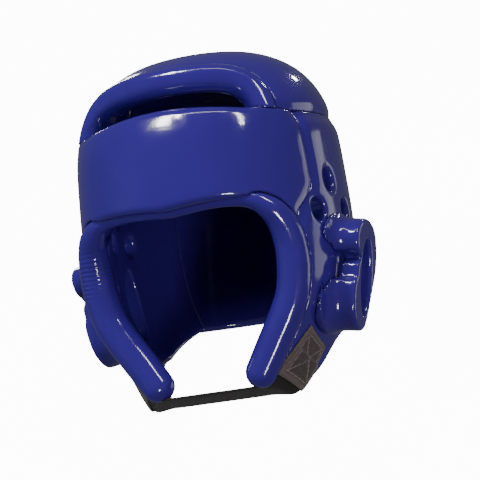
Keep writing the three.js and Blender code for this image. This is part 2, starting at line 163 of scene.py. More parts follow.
# Sections of the head form from the top down: shares of its height and its reaches, and the superellipse
# power of the front half
FORM_SECTIONS = table(("drop", "half", "front", "back", "bow"), [
    (0.0, 0.0, 0.0, 0.0, 2.1),
    (0.012, 0.36, 0.3, 0.42, 2.1),
    (0.038, 0.6, 0.51, 0.66, 2.1),
    (0.088, 0.79, 0.71, 0.85, 2.1),
    (0.165, 0.92, 0.87, 0.955, 2.15),
    (0.263, 0.97, 0.97, 0.99, 2.25),
    (0.386, 0.99, 1.0, 1.0, 2.3),
    (0.509, 1.0, 1.0, 0.98, 2.35),
    (0.614, 0.985, 0.98, 0.93, 2.5),
    (0.719, 0.92, 0.95, 0.86, 2.4),
    (0.825, 0.795, 0.87, 0.77, 2.05),
    (0.93, 0.7, 0.71, 0.69, 2.0),
    (1.0, 0.6, 0.61, 0.62, 2.0),
])
BACK_BOW = 2.05

# Path of the face rim on one side: shares of the opening's half width, of the way down, of the front reach
# and of the rim's full section
RIM_SECTIONS = table(("side", "fall", "forward", "size"), [
    (0.0, 0.0, 0.865, 0.36),
    (0.42, -0.02, 0.84, 0.38),
    (0.74, -0.01, 0.785, 0.52),
    (0.9, 0.055, 0.72, 0.72),
    (0.97, 0.14, 0.655, 0.86),
    (1.0, 0.26, 0.605, 0.95),
    (0.995, 0.4, 0.585, 1.0),
    (0.945, 0.555, 0.575, 1.0),
    (0.85, 0.68, 0.575, 1.0),
    (0.69, 0.84, 0.575, 1.0),
    (0.53, 1.0, 0.58, 0.97),
])

# Path of the crown roll on one side: shares of its end's turn, of the way down to the temple and of its full
# height
ROLL_SECTIONS = table(("turn", "fall", "size"), [
    (0.0, 0.0, 1.0),
    (0.35, 0.03, 1.0),
    (0.65, 0.1, 1.0),
    (0.86, 0.28, 0.97),
    (0.97, 0.62, 0.91),
    (1.0, 1.1, 0.88),
])

# Temple seam on its way down, and the jaw edge on its way back
SEAM_SECTIONS = table(("share", "lean"), [
    (0.0, 0.0),
    (0.5, 0.0),
    (0.66, 0.06),
    (0.77, 0.35),
    (0.85, 0.62),
    (0.94, 0.8),
    (1.0, 1.0),
])
JAW_SECTIONS = table(("run", "rise"), [
    (0.0, 0.0),
    (0.22, 0.15),
    (0.4, 0.38),
    (0.6, 0.68),
    (0.8, 0.9),
    (1.0, 1.0),
])

# Outline of an ear guard: shares of half its depth, towards the nape, and of half its height
GUARD_OUTLINE = table(("back", "up"), [
    (-0.05, 1.0),
    (-0.7, 0.92),
    (-0.98, 0.72),
    (-0.9, 0.48),
    (-0.56, 0.34),
    (-0.78, 0.22),
    (-0.84, 0.05),
    (-1.02, -0.1),
    (-1.08, -0.36),
    (-0.96, -0.66),
    (-0.5, -0.88),
    (0.08, -0.86),
    (0.6, -0.36),
    (1.0, 0.26),
    (0.72, 0.8),
])


# Curves
def column_at(rows, name, place):
    """Catmull-Rom value of one column of a table, at a place counted in rows."""
    values = rows[name]
    last = len(values) - 1
    row = np.clip(np.floor(place).astype(int), 0, last - 1)
    t = place - row
    a, b, c, d = (values[np.clip(row + shift, 0, last)] for shift in (-1, 0, 1, 2))
    return b + 0.5 * t * (c - a + t * (2 * a - 5 * b + 4 * c - d + t * (3 * (b - c) + d - a)))


def smoothstep(value, low, high):
    t = np.clip((value - low) / (high - low), 0, 1)
    return t * t * (3 - 2 * t)


def unit(vectors):
    return vectors / np.maximum(np.linalg.norm(vectors, axis=-1, keepdims=True), 1e-9)


def centripetal(before, start, end, after, t):
    """The stretch of a centripetal Catmull-Rom curve from start to end."""
    def step(a, b):
        return np.maximum(np.linalg.norm(b - a, axis=-1, keepdims=True) ** 0.5, 1e-6)
    d0, d1, d2 = step(before, start), step(start, end), step(end, after)
    m0 = d1 * ((start - before) / d0 - (end - before) / (d0 + d1) + (end - start) / d1)
    m1 = d1 * ((end - start) / d1 - (after - start) / (d1 + d2) + (after - end) / d2)
    t = t[:, None]
    rise = t * t * (3 - 2 * t)
    return start + (end - start) * rise + m0 * t * (1 - t) ** 2 + m1 * t * t * (t - 1)


def open_curve(points, shares):
    """Points of a smooth curve through the given ones, at shares of its rows."""
    points = np.array(points, float)
    ends = np.vstack([2 * points[0] - points[1], points, 2 * points[-1] - points[-2]])
    place = np.asarray(shares) * (len(points) - 1)
    row = np.clip(np.floor(place).astype(int), 0, len(points) - 2)
    return centripetal(ends[row], ends[row + 1], ends[row + 2], ends[row + 3], place - row)


def closed_curve(points, count):
    """Points of a smooth closed curve through the given ones."""
    points = np.array(points, float)
    place = np.arange(count) / count * len(points)
    row = np.floor(place).astype(int)
    near = [points[(row + shift) % len(points)] for shift in (-1, 0, 1, 2)]
    return centripetal(*near, place - row)


# The head form
class Form:
    """The outer form of the head guard, or the hollow inside it."""

    def __init__(self, half, front, back, top, bottom):
        self.half = half
        self.front = front
        self.back = back
        self.top = top
        self.bottom = bottom
        self.places = np.linspace(0, len(FORM_SECTIONS["drop"]) - 1, 600)
        self.heights = top - column_at(FORM_SECTIONS, "drop", self.places) * (top - bottom)

    def place_at(self, z):
        """Place in the table of sections, in rows, at one height."""
        return np.interp(-np.asarray(z, float), -self.heights, self.places)

    def point(self, place, turn):
        """The surface point at one place in the table and one turn from the front."""
        place, turn = np.broadcast_arrays(np.asarray(place, float), np.asarray(turn, float))
        value = {name: column_at(FORM_SECTIONS, name, place) for name in FORM_SECTIONS}
        power = BACK_BOW + (value["bow"] - BACK_BOW) * smoothstep(np.cos(turn), -0.3, 0.3)
        reach = np.where(np.cos(turn) > 0, self.front * value["front"], self.back * value["back"])
        across = np.abs(np.sin(turn)) / np.maximum(self.half * value["half"], 1e-6)
        along = np.abs(np.cos(turn)) / np.maximum(reach, 1e-6)
        radius = (across ** power + along ** power) ** (-1 / power)
        z = self.top - value["drop"] * (self.top - self.bottom)
        return np.stack([radius * np.sin(turn), -radius * np.cos(turn), z], axis=-1)

    def half_width(self, y, z):
        """Half width at one depth and height."""
        place = self.place_at(z)
        power = np.where(y < 0, column_at(FORM_SECTIONS, "bow", place), BACK_BOW)
        front = self.front * column_at(FORM_SECTIONS, "front", place)
        back = self.back * column_at(FORM_SECTIONS, "back", place)
        reach = np.where(y < 0, front, back)
        left = np.maximum(0, 1 - np.abs(y / reach) ** power)
        return self.half * column_at(FORM_SECTIONS, "half", place) * left ** (1 / power)

    def mesh(self, columns=240, rows=160):
        """A closed mesh of the form."""
        place = np.linspace(0.02, len(FORM_SECTIONS["drop"]) - 1, rows)
        turn = np.arange(columns) / columns * 2 * np.pi
        return loft(self.point(place[:, None], turn[None, :]))


def outer_form(margin=0.0):
    return Form(HALF_WIDTH + margin, FRONT_REACH + margin, BACK_REACH + margin,
                CROWN_WALL + margin, -FORM_DEPTH - margin)


INNER_FORM = Form(HALF_WIDTH - SIDE_WALL, FRONT_REACH - FRONT_WALL, BACK_REACH - BACK_WALL, 0, -FORM_DEPTH)


def crown_line_at(turn):
    """Height of the crown line at one turn from the front."""
    away = np.abs(np.arctan2(np.sin(turn), np.cos(turn)))
    share = smoothstep(away, 0, TEMPLE_TURN)
    front = CROWN_LINE_FRONT + (CROWN_LINE_TEMPLE - CROWN_LINE_FRONT) * share
    rest = (away - TEMPLE_TURN) / (np.pi - TEMPLE_TURN)
    back = CROWN_LINE_TEMPLE + (CROWN_LINE_BACK - CROWN_LINE_TEMPLE) * rest
    return np.where(away < TEMPLE_TURN, front, back)


# Meshes
def loft(rings):
    """Points and faces of a closed mesh through rings of equally many points, with a fan over each end."""
    rows, count, _ = rings.shape
    here = np.arange(count)
    ahead = (here + 1) % count
    strip = np.stack([here, ahead, count + ahead, count + here], axis=1)
    quads = [row * count + strip for row in range(rows - 1)]
    first, last = rows * count, rows * count + 1
    points = np.vstack([rings.reshape(-1, 3), rings[0].mean(0), rings[-1].mean(0)])
    top = np.stack([np.full(count, first), ahead, here], 1)
    foot = (rows - 1) * count
    end = np.stack([np.full(count, last), foot + here, foot + ahead], 1)
    return points, np.vstack(quads), np.vstack([top, end])


def tube(centres, across, depth, end_reach, squareness=1.0, sides=64):
    """A closed tube through centres with the given half axes, closed by round ends."""
    turn = np.arange(sides) / sides * 2 * np.pi
    wide, deep = (np.sign(value) * np.abs(value) ** squareness for value in (np.cos(turn), np.sin(turn)))
    spokes = across[:, None] * wide[None, :, None] + depth[:, None] * deep[None, :, None]
    rings = centres[:, None] + spokes
    shares = np.sin(np.linspace(0.05, 0.95, 8) * np.pi / 2)
    caps = []
    for end, inside in ((0, 1), (-1, -2)):
        along = unit(centres[end] - centres[inside])
        caps.append([centres[end] + along * end_reach * math.sqrt(1 - share ** 2) + spokes[end] * share
                     for share in shares])
    return loft(np.concatenate([caps[0], rings, caps[1][::-1]]))


def framed(centres, out, half_across, half_depth):
    """Half axes of a tube's sections: across lies in the form's surface, depth points out of it."""
    along = unit(np.gradient(centres, axis=0))
    across = unit(np.cross(along, out))
    depth = unit(np.cross(across, along))
    return across * half_across[:, None], depth * half_depth[:, None]


def mirrored_places(rows, steps=12):
    last = len(next(iter(rows.values()))) - 1
    return np.linspace(-last, last, 2 * last * steps + 1)


def rim_path():
    """Centres, outward directions and sizes along the rim, from the wearer's right to the left."""
    at = mirrored_places(RIM_SECTIONS)
    value = {name: column_at(RIM_SECTIONS, name, np.abs(at)) for name in RIM_SECTIONS}
    x = np.sign(at) * value["side"] * OPENING_HALF_WIDTH
    z = BROW_HEIGHT + (CHIN_HEIGHT - BROW_HEIGHT) * value["fall"]
    centres = np.stack([x, -value["forward"] * FRONT_REACH, z], axis=-1)
    return centres, unit(centres * [1, 1, 0]), value["size"]


def rim_mesh():
    centres, out, size = rim_path()
    across, depth = framed(centres, out, RIM_HALF_WIDTH * size, RIM_HALF_DEPTH * size)
    return tube(centres, across, depth, RIM_HALF_WIDTH * size[0])


def roll_path():
    """Centres, outward directions and sizes along the crown roll. Its outer side touches the form."""
    at = mirrored_places(ROLL_SECTIONS)
    value = {name: column_at(ROLL_SECTIONS, name, np.abs(at)) for name in ROLL_SECTIONS}
    turn = np.sign(at) * value["turn"] * ROLL_END_TURN
    start = CROWN_LINE_FRONT + ROLL_RISE
    z = start + (CROWN_LINE_TEMPLE - start) * value["fall"]
    form = outer_form()
    surface = form.point(form.place_at(z), turn)
    out = unit(surface * [1, 1, 0])
    return surface - out * ROLL_HALF_DEPTH, out, value["size"]


def roll_mesh():
    centres, out, size = roll_path()
    across, depth = framed(centres, out, ROLL_HALF_HEIGHT * size, ROLL_HALF_DEPTH * np.ones(len(size)))
    return tube(centres, across, depth, ROLL_HALF_HEIGHT, ROLL_SQUARENESS)


# Distance fields. Each is negative inside, in millimetres, on a block of voxels round one piece.
class Block:
    """The voxels round one CAD node."""

    def __init__(self, node, margin=4):
        low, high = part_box(node)
        self.low = np.floor((np.array(low) / MM - margin) / VOXEL).astype(int)
        high = np.ceil((np.array(high) / MM + margin) / VOXEL).astype(int)
        self.shape = tuple(high - self.low + 1)
        axes = [(self.low[i] + np.arange(self.shape[i])) * VOXEL for i in range(3)]
        self.x, self.y, self.z = np.meshgrid(*axes, indexing="ij", sparse=True)
        self.turn = np.arctan2(self.x, -self.y)

    def read(self, level_set):
        values = np.zeros(self.shape, np.float32)
        level_set.copyToArray(values, ijk=tuple(int(i) for i in self.low))
        return values

    def surface(self, field):
        """Points and outward quads where the field is zero."""
        grid = openvdb.FloatGrid(float(BAND))
        values = np.array(np.broadcast_to(field, self.shape), np.float32, order="C")
        grid.copyFromArray(values, ijk=tuple(int(i) for i in self.low))
        grid.transform = openvdb.createLinearTransform(voxelSize=VOXEL)
        points, quads = grid.convertToQuads(0)
        a, b, c, d = (points[quads[:, i]] for i in range(4))
        volume = np.einsum("ij,ij->i", a, np.cross(b, c) + np.cross(c, d)).sum()
        return largest_part(points, quads if volume > 0 else quads[:, ::-1])


def largest_part(points, quads):
    """The largest connected part of a surface. A cut can leave crumbs beside it."""
    label = np.arange(len(points))
    settled = None
    while settled is None or (label != settled).any():
        settled = label.copy()
        lowest = label[quads].min(axis=1)
        for corner in range(4):
            np.minimum.at(label, quads[:, corner], lowest)
        label = label[label]
    part = label[quads[:, 0]]
    used, index = np.unique(quads[part == np.bincount(part).argmax()], return_inverse=True)
    return points[used], index.reshape(-1, 4)


def level_set(mesh):
    points, quads, triangles = mesh
    return openvdb.FloatGrid.createLevelSetFromPolygons(
        points.astype(np.float32), triangles=triangles.astype(np.uint32), quads=quads.astype(np.uint32),
        transform=openvdb.createLinearTransform(voxelSize=VOXEL), halfWidth=BAND / VOXEL)


def both(a, b, rounding):
    """The inside of both fields, with the edge between them rounded."""
    blend = np.maximum(rounding - np.abs(a - b), 0)
    return np.maximum(a, b) + blend * blend / (4 * rounding)


def outline_distance(u, v, outline):
    """Distance to a closed outline, negative inside it."""
    nearest = np.full(np.broadcast(u, v).shape, 1e9)
    inside = np.zeros(nearest.shape, bool)
    for (u0, v0), (u1, v1) in zip(outline, np.roll(outline, -1, axis=0)):
        du, dv = u1 - u0, v1 - v0
        share = np.clip(((u - u0) * du + (v - v0) * dv) / max(du * du + dv * dv, 1e-9), 0, 1)
        nearest = np.minimum(nearest, (u - u0 - share * du) ** 2 + (v - v0 - share * dv) ** 2)
        if v0 != v1:
            inside ^= ((v0 > v) != (v1 > v)) & (u < u0 + (v - v0) / (v1 - v0) * du)
    return np.where(inside, -1, 1) * np.sqrt(nearest)


FAR = 400  # cutters reach this far past the part
OUTER = level_set(outer_form().mesh())
DOME = level_set(outer_form(-DOME_SINK).mesh())
INNER = level_set(INNER_FORM.mesh())
RIM = level_set(rim_mesh())
ROLL = level_set(roll_mesh())


def inside_path(block, centres, share=1.0):
    """Seen from the front, what lies inside a mirrored path and below it, at a share of its width."""
    outline = centres[:, [0, 2]] * [share, 1]
    end = outline[-1]
    outline = np.vstack([outline, [end[0], end[1] - FAR], [-end[0], end[1] - FAR]])
    field = outline_distance(block.x, block.z, outline)
    return np.where(block.y < 0, field, FAR)


def front_of_temple(block):
    """Seen from the side, what lies in front of the temple seam."""
    place = np.linspace(0, len(SEAM_SECTIONS["share"]) - 1, 40)
    lean = column_at(SEAM_SECTIONS, "lean", place)
    fall = column_at(SEAM_SECTIONS, "share", place)
    seam = np.stack([TEMPLE_SEAM - TEMPLE_SEAM_LEAN * lean,
                     CROWN_LINE_TEMPLE + (TEMPLE_SEAM_FOOT - CROWN_LINE_TEMPLE) * fall], axis=-1)
    outline = np.vstack([[TEMPLE_SEAM, FAR], seam, [-FAR, TEMPLE_SEAM_FOOT], [-FAR, FAR]])
    return outline_distance(block.y, block.z, outline)


def below_jaw(block):
    place = np.linspace(0, len(JAW_SECTIONS["run"]) - 1, 30)
    run = column_at(JAW_SECTIONS, "run", place)
    rise = column_at(JAW_SECTIONS, "rise", place)
    edge = np.stack([JAW_Y + JAW_RUN * run, JAW_HEIGHT + (UNDER_EAR_HEIGHT - JAW_HEIGHT) * rise], axis=-1)
    outline = np.vstack([[-FAR, JAW_HEIGHT], edge, [BACK_SEAM, NAPE_HEIGHT], [FAR, NAPE_HEIGHT], [FAR, -FAR],
                         [-FAR, -FAR]])
    return outline_distance(block.y, block.z, outline)


def crease(distance, size):
    """How far a skin dips at a distance from a seam."""
    depth, width = size
    return depth * np.exp(-(distance / width) ** 2)


def foam_wall(block, cheek_share):
    """The wall of the band, before it is divided into pads."""
    above = block.z - crown_line_at(block.turn)
    slot_fade, crown_fade = (-10, -4), (4, 16)  # degrees past the roll's end
    away = np.degrees(np.abs(block.turn) - ROLL_END_TURN)
    beside_slot = smoothstep(away, *slot_fade)
    skin = block.read(OUTER) + crease(front_of_temple(block), TEMPLE_CREASE)
    skin = skin + crease(above, CROWN_CREASE) * smoothstep(away, *crown_fade)
    skin = skin + crease(block.y - BACK_SEAM, BACK_CREASE)
    wall = both(skin, -block.read(INNER), PAD_ROUND)
    wall = both(wall, above + SEAM_GAP / 2, PAD_ROUND + (CREASE_ROUND - PAD_ROUND) * beside_slot)
    wall = both(wall, -inside_path(block, rim_path()[0], cheek_share), PAD_ROUND)
    wall = both(wall, -below_jaw(block), PAD_ROUND)
    return both(wall, GAP - block.read(RIM), HIDDEN_ROUND)


def forehead_pad():
    block = Block("forehead_pad")
    return block.surface(both(foam_wall(block, 1.0), front_of_temple(block) + SEAM_GAP / 2, CREASE_ROUND))


def back_pad():
    block = Block("back_pad")
    return block.surface(both(foam_wall(block, CHEEK_SHARE), BACK_SEAM - block.y, CREASE_ROUND))


def vents(block):
    """Distance to the nearest of the three vent holes on the wearer's left."""
    places = [(VENT_MIDDLE, VENT_TOP), (VENT_MIDDLE - VENT_SPREAD, VENT_TOP - VENT_DROP),
              (VENT_MIDDLE + VENT_SPREAD, VENT_TOP - VENT_DROP)]
    nearest = None
    for y, z in places:
        turn = math.atan2(y, HALF_WIDTH)
        across = (block.y - y) * math.cos(turn) - (block.x - HALF_WIDTH) * math.sin(turn)
        distance = np.sqrt(across ** 2 + (block.z - z) ** 2) - VENT_RADIUS
        nearest = distance if nearest is None else np.minimum(nearest, distance)
    return nearest


def guard_axes(block):
    """Coordinates in the left guard's frame: towards the nape, up, and out of its outer face."""
    x, z = block.x - GUARD_REACH, block.z - GUARD_CENTRE_Z
    up = x * math.sin(GUARD_TILT) + z * math.cos(GUARD_TILT)
    out = x * math.cos(GUARD_TILT) - z * math.sin(GUARD_TILT)
    return block.y - GUARD_CENTRE_Y, up, out


def ear_hole(block):
    back, up, _ = guard_axes(block)
    turn = np.arange(72) / 72 * 2 * np.pi
    outline = np.stack([EAR_HOLE_DEPTH / 2 * np.cos(turn), EAR_HOLE_HEIGHT / 2 * np.sin(turn)], axis=-1)
    return outline_distance(back, up, outline)


def side_pad():
    block = Block("side_pad_left")
    wall = both(foam_wall(block, CHEEK_SHARE), SEAM_GAP / 2 - front_of_temple(block), CREASE_ROUND)
    wall = both(wall, block.y - (BACK_SEAM - SEAM_GAP), CREASE_ROUND)
    wall = both(wall, -vents(block), VENT_ROUND)
    return block.surface(both(wall, -ear_hole(block), HIDDEN_ROUND))


def ear_guard():
    block = Block("ear_guard_left")
    back, up, out = guard_axes(block)
    sink = np.clip((-out - GUARD_STRAIGHT) / GUARD_FLARE_DEPTH, 0, 1)
    spread = 1 - np.sqrt(1 - sink ** 2)
    half_depth, half_height = GUARD_DEPTH / 2, GUARD_HEIGHT / 2
    grown_back = half_depth + np.where(back < 0, GUARD_FLARE, GUARD_FLARE_ELSEWHERE) * spread
    grown_up = half_height + GUARD_FLARE_ELSEWHERE * spread
    corners = np.stack([GUARD_OUTLINE["back"] * half_depth, GUARD_OUTLINE["up"] * half_height], axis=-1)
    outline = closed_curve(corners, 104)
    guard = outline_distance(back * half_depth / grown_back, up * half_height / grown_up, outline)
    guard = both(guard, out, GUARD_ROUND)
    guard = both(guard, -ear_hole(block), GUARD_ROUND)
    slot = np.maximum(np.abs(up - EAR_SLOT_UP) - EAR_SLOT_HEIGHT / 2, back)
    slot = np.maximum(slot, np.abs(out + EAR_SLOT_INSET) - EAR_SLOT_WIDTH / 2)
    guard = both(guard, -slot, HIDDEN_ROUND)
    guard = np.maximum(guard, GAP - block.read(OUTER))
    return block.surface(both(guard, GAP - block.read(RIM), HIDDEN_ROUND))


def crown_pad():
    block = Block("crown_pad")
    above = block.z - crown_line_at(block.turn)
    dome = both(block.read(DOME) + crease(above, DOME_CREASE), -block.read(INNER), PAD_ROUND)
    dome = both(dome, SEAM_GAP / 2 - above, CREASE_ROUND)
    dome = both(dome, -inside_path(block, roll_path()[0]), HIDDEN_ROUND)
    return block.surface(both(dome, GAP - block.read(ROLL), HIDDEN_ROUND))


def crown_roll():
    block = Block("crown_roll")
    roll = both(block.read(ROLL), crown_line_at(block.turn) + SEAM_GAP / 2 - block.z, CREASE_ROUND)
    return block.surface(both(roll, -block.read(INNER), HIDDEN_ROUND))


def face_rim():
    block = Block("face_rim")
    return block.surface(block.read(RIM))


# Strap and patches
def strap_line():
    """Points that the strap's middle line goes through, from the left patch to the right one."""
    lift = outer_form(GAP + STRAP_THICKNESS / 2)

    def on_jaw(reach):
        y = PATCH_Y - math.sin(PATCH_LEAN) * reach
        z = PATCH_Z - math.cos(PATCH_LEAN) * reach
        return np.array([float(lift.half_width(y, z)), y, z])

    jaw = on_jaw(PATCH_LENGTH * 0.62)

    def chin(side, fall, back):
        """A point under the chin, by shares of the jaw's half width and of the fall, and how far back."""
        return np.array([jaw[0] * side, STRAP_CENTRE_Y + back, jaw[2] + (STRAP_HEIGHT - jaw[2]) * fall])

    half = [on_jaw(0), on_jaw(PATCH_LENGTH * 0.32), jaw, chin(0.72, 0.85, 2), chin(0.4, 1, 0)]
    mirrored = [point * [-1, 1, 1] for point in reversed(half)]
    return [*half, chin(0, 1, 0), *mirrored]


def strap_mesh(steps=180):
    """Points and quads of the strap, and how far along and across it each point lies, in millimetres."""
    share = np.linspace(0, 1, steps + 1)
    line = open_curve(strap_line(), share)
    tangent = unit(np.gradient(line, axis=0))
    run = np.concatenate([[0], np.cumsum(np.linalg.norm(np.diff(line, axis=0), axis=1))])
    cling = (1 - smoothstep(0.5 - np.abs(share - 0.5), 0.12, 0.3))[:, None]
    on_patch = np.array([0, math.cos(PATCH_LEAN), -math.sin(PATCH_LEAN)])
    under_chin = unit(np.array([0, 1, -STRAP_TILT]))
    across = unit(under_chin + (on_patch - under_chin) * cling)
    out = unit(np.cross(across, tangent))
    lift = outer_form(GAP + STRAP_THICKNESS / 2)
    widths = np.array([-1, -0.97, -0.9, -0.45, 0, 0.45, 0.9, 0.97, 1]) * STRAP_WIDTH / 2
    half = np.array([0.35, 0.8, 1, 1, 1, 1, 1, 0.8, 0.35]) * STRAP_THICKNESS / 2
    upper, lower = [], []
    for width, thick in zip(widths, half):
        place = line + across * width
        on_form = np.sign(line[:, 0]) * lift.half_width(place[:, 1], place[:, 2])
        place[:, 0] += (on_form - place[:, 0]) * cling[:, 0]
        upper.append(place + out * thick)
        lower.append(place - out * thick)
    rings = np.stack(upper + lower[::-1], axis=1)
    spread = np.concatenate([widths, widths[::-1]])
    along = np.repeat(run, len(spread))
    return loft(rings), np.stack([along, np.tile(spread, len(run))], axis=-1)


def patch_frame(down, back):
    """Depth and height of a patch's point, from the patch's middle, on the wearer's left."""
    y = PATCH_Y - math.sin(PATCH_LEAN) * down + math.cos(PATCH_LEAN) * back
    z = PATCH_Z - math.cos(PATCH_LEAN) * down - math.sin(PATCH_LEAN) * back
    return y, z


def patch_surface(down, back, lift):
    """A point on the wearer's left jaw, lifted off the form."""
    y, z = patch_frame(down, back)
    form = outer_form()
    step = 0.5
    x = form.half_width(y, z)
    slope_y = (form.half_width(y + step, z) - form.half_width(y - step, z)) / (2 * step)
    slope_z = (form.half_width(y, z + step) - form.half_width(y, z - step)) / (2 * step)
    normal = unit(np.stack([np.ones_like(x), -slope_y, -slope_z], axis=-1))
    return np.stack([x, y, z], axis=-1) + normal * np.asarray(lift)[..., None]


def patch_mesh():
    """A woven patch over the strap's end. Its edges come down to the foam, except where the strap leaves."""
    columns, rows = 45, 41
    strap_side = (STRAP_WIDTH / 2 + 0.2, STRAP_WIDTH / 2 + 1.8)
    strap_start = (-3.5, -1)
    flat_share, bulge = 0.85, 0.35
    edge_sink, edge_width = 0.45, 1.2
    down = np.linspace(-1, 1, columns)[:, None] * PATCH_LENGTH / 2 + np.zeros((1, rows))
    back = np.linspace(-1, 1, rows)[None, :] * PATCH_WIDTH / 2 + np.zeros((columns, 1))
    over_strap = (1 - smoothstep(np.abs(back), *strap_side)) * smoothstep(down, *strap_start)
    under = GAP + (STRAP_THICKNESS + GAP) * over_strap
    crown = bulge * (1 - (2 * back / PATCH_WIDTH) ** 4) * (1 - (2 * down / PATCH_LENGTH) ** 4)
    top = patch_surface(down, back, under + PATCH_THICKNESS * flat_share + crown)
    bottom = patch_surface(down, back, under)
    edge = np.minimum(PATCH_LENGTH / 2 - np.abs(down), PATCH_WIDTH / 2 - np.abs(back))
    top += (bottom - top) * (edge_sink * (1 - smoothstep(edge, 0, edge_width)))[..., None]

    def cells(grid):
        return np.stack([grid[:-1, :-1], grid[1:, :-1], grid[1:, 1:], grid[:-1, 1:]], -1).reshape(-1, 4)

    offset = columns * rows
    index = np.arange(offset).reshape(columns, rows)
    lower = index + offset
    border = np.concatenate([index[:-1, 0], index[-1, :-1], index[:0:-1, -1], index[0, :0:-1]])
    ahead = np.roll(border, -1)
    walls = np.stack([border, border + offset, ahead + offset, ahead], axis=-1)
    points = np.vstack([top.reshape(-1, 3), bottom.reshape(-1, 3)])
    uv = np.stack([down.ravel(), back.ravel()], axis=-1)
    return points, np.vstack([cells(index), cells(lower)[:, ::-1], walls]), np.vstack([uv, uv])


# Materials
def new_material(name):
    material = bpy.data.materials.new(name)
    material.use_nodes = True
    tree = material.node_tree
    return material, tree, tree.nodes["Principled BSDF"]


def add_node(tree, kind, inputs=None, **settings):
    """A node with its settings and inputs. An input is a value, or a socket that is linked to it."""
    node = tree.nodes.new(kind)
    for key, value in settings.items():
        setattr(node, key, value)
    for key, value in (inputs or {}).items():
        if isinstance(value, bpy.types.NodeSocket):
            tree.links.new(value, node.inputs[key])
        else:
            node.inputs[key].default_value = value
    return node


def noise(tree, place, scale, detail=2.0):
    inputs = {"Vector": place, "Scale": scale, "Detail": detail}
    return add_node(tree, "ShaderNodeTexNoise", inputs).outputs["Fac"]


def maths(tree, operation, a, b):
    return add_node(tree, "ShaderNodeMath", {0: a, 1: b}, operation=operation).outputs[0]


def between(tree, value, low, high, start, end):
    """The value's place between low and high, as one from start to end."""
    return add_node(tree, "ShaderNodeMapRange", {
        "Value": value, "From Min": low, "From Max": high, "To Min": start, "To Max": end}).outputs["Result"]


def bump(tree, height, distance, strength, normal=None):
    inputs = {"Height": height, "Distance": distance, "Strength": strength}
    if normal is not None:
        inputs["Normal"] = normal
    return add_node(tree, "ShaderNodeBump", inputs).outputs["Normal"]


def mix_colour(tree, share, first, second):
    node = tree.nodes.new("ShaderNodeMix")
    node.data_type = "RGBA"
    tree.links.new(share, node.inputs["Factor"])
    node.inputs[6].default_value = first
    node.inputs[7].default_value = second
    return node.outputs[2]


def wrinkles(tree, place):
    """Fine folds of the skin where the rim bends at the wearer's right temple."""
    away = add_node(tree, "ShaderNodeVectorMath", {0: place, 1: WRINKLE_PLACE}, operation="DISTANCE")
    ripple = {"Vector": place, "Scale": WAVE_PERIOD / WRINKLE_PITCH,
              "Distortion": 2.5, "Detail": 1.0, "Detail Scale": 0.4}
    folds = add_node(tree, "ShaderNodeTexWave", ripple,
                     wave_type="BANDS", bands_direction="Z", wave_profile="SIN")
    strength = between(tree, away.outputs["Value"], *WRINKLE_REACH, 0.5, 0.0)
    return maths(tree, "MULTIPLY", folds.outputs["Fac"], strength)


def vinyl():
    """Glossy dipped skin: soft lumps of the foam under it and a fine orange peel."""
    material, tree, shader = new_material("dipped_vinyl")
    place = add_node(tree, "ShaderNodeTexCoord").outputs["Object"]
    lumps = noise(tree, place, 28.0, 2.0)
    peel = noise(tree, place, 420.0, 2.0)
    shade = noise(tree, place, 12.0, 3.0)
    colour = mix_colour(tree, shade, (0.019, 0.009, 0.13, 1), (0.025, 0.012, 0.18, 1))
    tree.links.new(colour, shader.inputs["Base Color"])
    tree.links.new(between(tree, noise(tree, place, 90.0), 0.3, 0.7, 0.08, 0.16), shader.inputs["Roughness"])
    soft = bump(tree, maths(tree, "ADD", lumps, wrinkles(tree, place)), 0.0016, 0.5)
    tree.links.new(bump(tree, peel, 0.00008, 0.5, soft), shader.inputs["Normal"])
    shader.inputs["Specular IOR Level"].default_value = 0.55
    shader.inputs["Coat Weight"].default_value = 0.35
    shader.inputs["Coat Roughness"].default_value = 0.04
    return material


def near_line(tree, distance, half_width):
    """One on a line and none beside it, from the distance to it."""
    return between(tree, maths(tree, "ABSOLUTE", distance, 0.0), half_width, half_width + 0.3, 1.0, 0.0)


def stitching(tree, place):
    """Rows of stitches on a patch: a box with a cross in it, and the bound edge outside the box."""
    spread = add_node(tree, "ShaderNodeSeparateXYZ", {0: place})
    down, back = (maths(tree, "ABSOLUTE", spread.outputs[axis], 0.0) for axis in ("X", "Y"))
    half_length, half_width = PATCH_LENGTH / 2 - STITCH_INSET, PATCH_WIDTH / 2 - STITCH_INSET
    past_ends = maths(tree, "SUBTRACT", down, half_length)
    past_sides = maths(tree, "SUBTRACT", back, half_width)
    box = maths(tree, "MAXIMUM", past_ends, past_sides)
    down_share = maths(tree, "DIVIDE", down, half_length)
    back_share = maths(tree, "DIVIDE", back, half_width)
    slant = maths(tree, "MULTIPLY", maths(tree, "SUBTRACT", down_share, back_share), half_width * 0.7)
    in_box = between(tree, box, -0.5, 0.0, 1.0, 0.0)
    cross = maths(tree, "MULTIPLY", near_line(tree, slant, STITCH_HALF_WIDTH), in_box)
    rows = maths(tree, "MAXIMUM", near_line(tree, box, STITCH_HALF_WIDTH), cross)
    dashes = add_node(tree, "ShaderNodeTexWave", {"Vector": place, "Scale": WAVE_PERIOD / STITCH_PITCH},
                      wave_type="BANDS", bands_direction="DIAGONAL", wave_profile="SIN").outputs["Fac"]
    thread = maths(tree, "MULTIPLY", rows, between(tree, dashes, 0.15, 0.4, 0.25, 1.0))
    return thread, between(tree, box, 0.8, 1.4, 0.0, 0.35)


